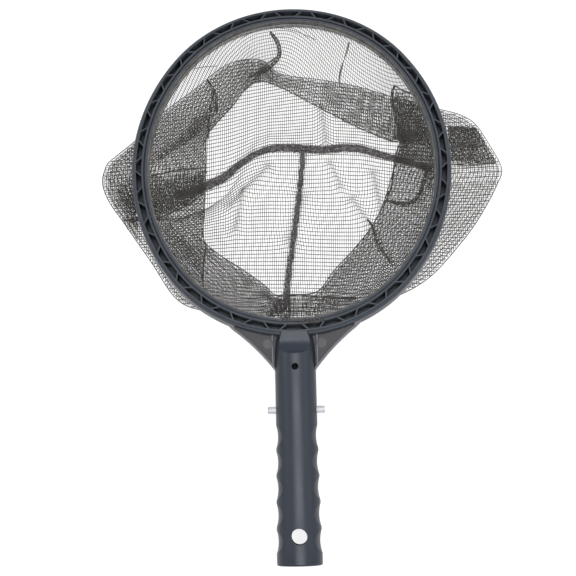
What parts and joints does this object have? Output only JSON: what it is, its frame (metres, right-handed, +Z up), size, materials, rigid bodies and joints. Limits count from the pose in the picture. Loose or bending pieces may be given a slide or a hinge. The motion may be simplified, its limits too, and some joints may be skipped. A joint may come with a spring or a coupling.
{
  "type": "hand leaf skimmer net",
  "caption": "Oval ribbed ring with a fine slack net bag, hollow finger-grip handle bent slightly down, and a spring clip whose side pins lock into a telescopic pole.",
  "frame": {"origin": "centre of the base of the whole object as it lies on the ground, with the ring's far edge, the handle's open end and the slack bag touching it", "axes": "+Y from the handle's open end towards the ring's far edge, +Z up, +X to the right seen from above; the ring leans 6.8 degrees down towards +Y"},
  "size_m": [0.293, 0.4156, 0.0443],
  "materials": {
    "frame_plastic": "moulded polypropylene, fine matt texture, slate grey",
    "net_mesh": "open woven polyester mesh, grey",
    "net_hem": "folded mesh hem, grey",
    "net_tape": "sewn seam, charcoal",
    "clip_nylon": "translucent natural nylon"
  },
  "bodies": {
    "frame": {"rim_frame": "frame_plastic", "gusset_left": "frame_plastic", "gusset_right": "frame_plastic", "handle": "frame_plastic", "net_retainer": "frame_plastic", "net_hem": "net_hem", "net_wall": "net_mesh", "net_bottom": "net_mesh", "net_corner_left": "net_mesh", "net_corner_right": "net_mesh", "seam_bottom": "net_tape", "seam_side": "net_tape", "seam_end": "net_tape", "clip_bow": "clip_nylon"},
    "clip_left": {"clip_arm_left": "clip_nylon"},
    "clip_right": {"clip_arm_right": "clip_nylon"}
  },
  "joints": [
    {"name": "press_left_pin", "type": "hinge", "parent": "frame", "child": "clip_left", "pos_m": [-0.0179, -0.15336, 0.02091], "axis": [0, 0.1093, -0.994], "range_deg": [0, 6.4], "stiffness_Nm_per_rad": 1, "springref_deg": -2.01},
    {"name": "press_right_pin", "type": "hinge", "parent": "frame", "child": "clip_right", "pos_m": [0.0009, -0.15336, 0.02091], "axis": [0, -0.1093, 0.994], "range_deg": [0, 6.4], "stiffness_Nm_per_rad": 1, "springref_deg": -2.01}
  ]
}
